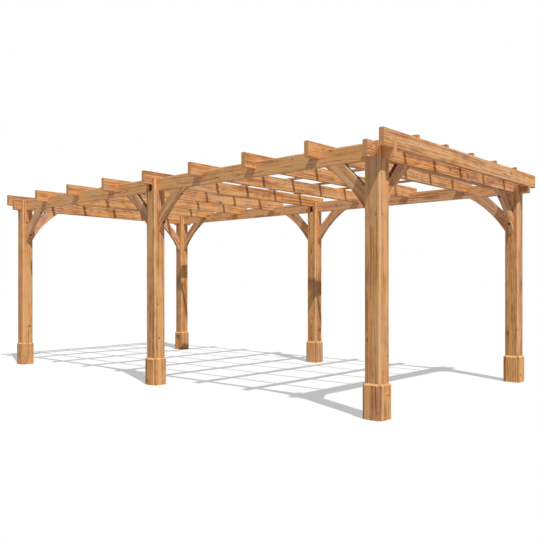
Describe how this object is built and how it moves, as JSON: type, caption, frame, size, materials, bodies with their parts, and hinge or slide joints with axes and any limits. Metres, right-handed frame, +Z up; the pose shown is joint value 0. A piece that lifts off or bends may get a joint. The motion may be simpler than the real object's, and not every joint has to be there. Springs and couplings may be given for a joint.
{
  "type": "wooden pergola",
  "caption": "Free-standing timber pergola: posts with slotted heads carry lapped beams, notched rafters and roof battens, stiffened by arched corner braces.",
  "frame": {"origin": "on the ground, under the middle of the roof", "axes": "+X along the long side from left to right, +Y from the front row of posts to the back row, +Z up"},
  "size_m": [5.924, 3.29, 2.36],
  "materials": {
    "post_timber": "planed pine with a warm brown translucent stain",
    "skirt_boards": "planed pine with a warm brown translucent stain",
    "beam_timber": "planed pine with a warm brown translucent stain",
    "rafter_timber": "planed pine with a warm brown translucent stain",
    "battens": "planed pine with a warm brown translucent stain",
    "brace_timber": "planed pine with a warm brown translucent stain"
  },
  "bodies": {
    "root": {"post_front_left": "post_timber", "skirt_front_left": "skirt_boards", "post_front_middle": "post_timber", "skirt_front_middle": "skirt_boards", "post_front_right": "post_timber", "skirt_front_right": "skirt_boards", "long_beam_front": "beam_timber", "post_back_left": "post_timber", "skirt_back_left": "skirt_boards", "post_back_middle": "post_timber", "skirt_back_middle": "skirt_boards", "post_back_right": "post_timber", "skirt_back_right": "skirt_boards", "long_beam_back": "beam_timber", "end_beam_left": "beam_timber", "end_beam_right": "beam_timber", "rafter_1": "rafter_timber", "rafter_2": "rafter_timber", "rafter_3": "rafter_timber", "rafter_4": "rafter_timber", "rafter_5": "rafter_timber", "rafter_6": "rafter_timber", "rafter_7": "rafter_timber", "rafter_8": "rafter_timber", "rafter_9": "rafter_timber", "batten_1": "battens", "batten_2": "battens", "batten_3": "battens", "batten_4": "battens", "batten_5": "battens", "brace_front_left_along": "brace_timber", "brace_front_left_across": "brace_timber", "brace_front_middle_left": "brace_timber", "brace_front_middle_right": "brace_timber", "brace_front_right_along": "brace_timber", "brace_front_right_across": "brace_timber", "brace_back_left_along": "brace_timber", "brace_back_left_across": "brace_timber", "brace_back_middle_left": "brace_timber", "brace_back_middle_right": "brace_timber", "brace_back_right_along": "brace_timber", "brace_back_right_across": "brace_timber"}
  },
  "joints": []
}
